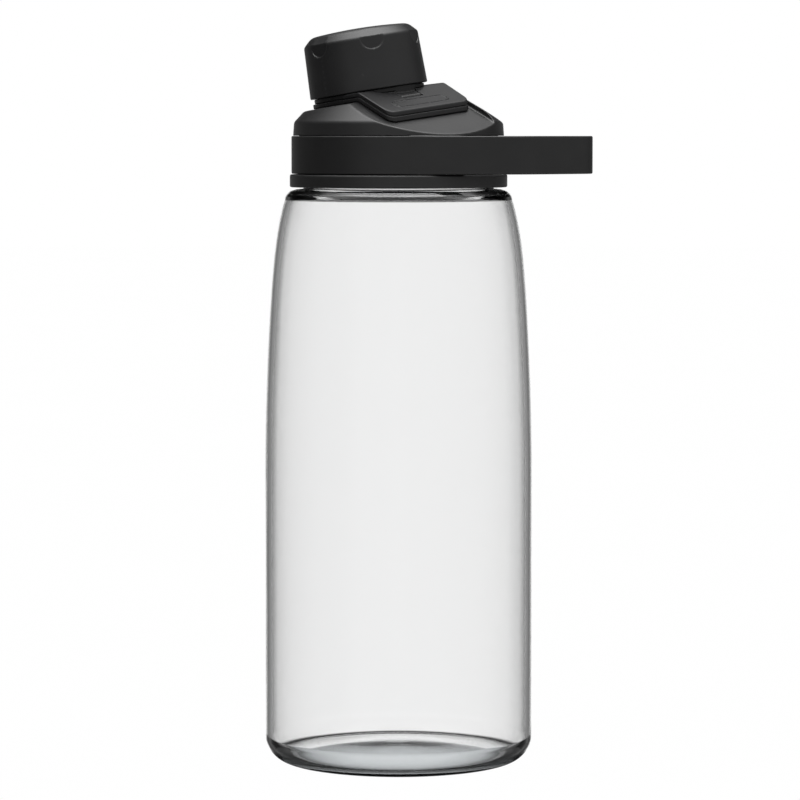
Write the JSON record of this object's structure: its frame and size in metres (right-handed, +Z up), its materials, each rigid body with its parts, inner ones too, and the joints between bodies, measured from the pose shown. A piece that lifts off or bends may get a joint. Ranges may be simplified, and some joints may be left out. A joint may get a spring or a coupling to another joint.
{
  "type": "water bottle",
  "caption": "Clear wide-mouth drinking bottle with a dark screw lid, a side carry loop, a tilted spout and a small screw cap that swings open on a hinged ring.",
  "frame": {"origin": "centre of the resting ring under the base, on the body's axis", "axes": "+Z up along the body's axis, +X towards the carry loop, -Y towards the side the tether tab faces"},
  "size_m": [0.1147, 0.094, 0.2588],
  "materials": {
    "clear_body": "clear moulded copolyester",
    "lid_plastic": "fine matte moulded",
    "cap_plastic": "satin moulded",
    "tab_plastic": "satin moulded",
    "spout_plastic": "smooth",
    "seal": "soft silicone",
    "steel": "brushed",
    "magnet": "nickel plated"
  },
  "bodies": {
    "bottle": {"bottle_body": "clear_body"},
    "gasket": {"lid_gasket": "seal"},
    "lid": {"lid_base": "lid_plastic", "lid_cover": "lid_plastic", "carry_handle": "lid_plastic", "drinking_spout": "spout_plastic", "spout_seal": "seal", "tether_base": "tab_plastic", "tab_cover": "tab_plastic", "tab_magnet": "magnet", "hinge_pin": "steel"},
    "cap_link": {"cap_ring": "tab_plastic"},
    "cap": {"cap_shell": "cap_plastic", "cap_core": "cap_plastic", "cap_seal": "seal", "keeper_ring": "steel", "cap_snap_ring": "spout_plastic"}
  },
  "joints": [
    {"name": "lid_lift", "type": "slide", "parent": "bottle", "child": "gasket", "axis": [0, 0, 1], "range_m": [0, 0.0075]},
    {"name": "lid_turn", "type": "hinge", "parent": "gasket", "child": "lid", "pos_m": [0, 0, 0.2], "axis": [0, 0, 1], "range_deg": [0, 450]},
    {"name": "cap_swing", "type": "hinge", "parent": "lid", "child": "cap_link", "pos_m": [0.00408, -0.01563, 0.23282], "axis": [0.7385, 0.6639, 0.1176], "range_deg": [0, 105]},
    {"name": "cap_turn", "type": "hinge", "parent": "cap_link", "child": "cap", "pos_m": [-0.01035, 0, 0.2352], "axis": [-0.1573, 0, 0.9876], "range_deg": [0, 180]}
  ],
  "couplings": [
    {"joint": "lid_turn", "follows": "lid_lift", "rad_per_m": 1047.2}
  ]
}
